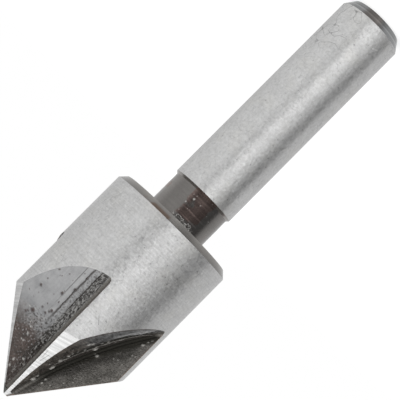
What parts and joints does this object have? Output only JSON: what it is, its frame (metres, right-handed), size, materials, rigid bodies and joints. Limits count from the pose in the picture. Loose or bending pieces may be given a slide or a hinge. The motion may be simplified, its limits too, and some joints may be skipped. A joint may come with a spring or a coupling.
{
  "type": "countersink bit",
  "caption": "Straight-shank countersink bit with a relieved conical point and ground flutes, for sinking screw heads and deburring holes.",
  "frame": {"origin": "middle of the shank's flat end", "axes": "+Z along the bit from the shank's end to the point, with one cutting face square to +X"},
  "size_m": [0.0126, 0.0126, 0.0457],
  "materials": {
    "tool_steel": "ground satin, with black oxide left in the flutes and the neck"
  },
  "bodies": {
    "root": {"countersink_bit": "tool_steel"}
  },
  "joints": []
}
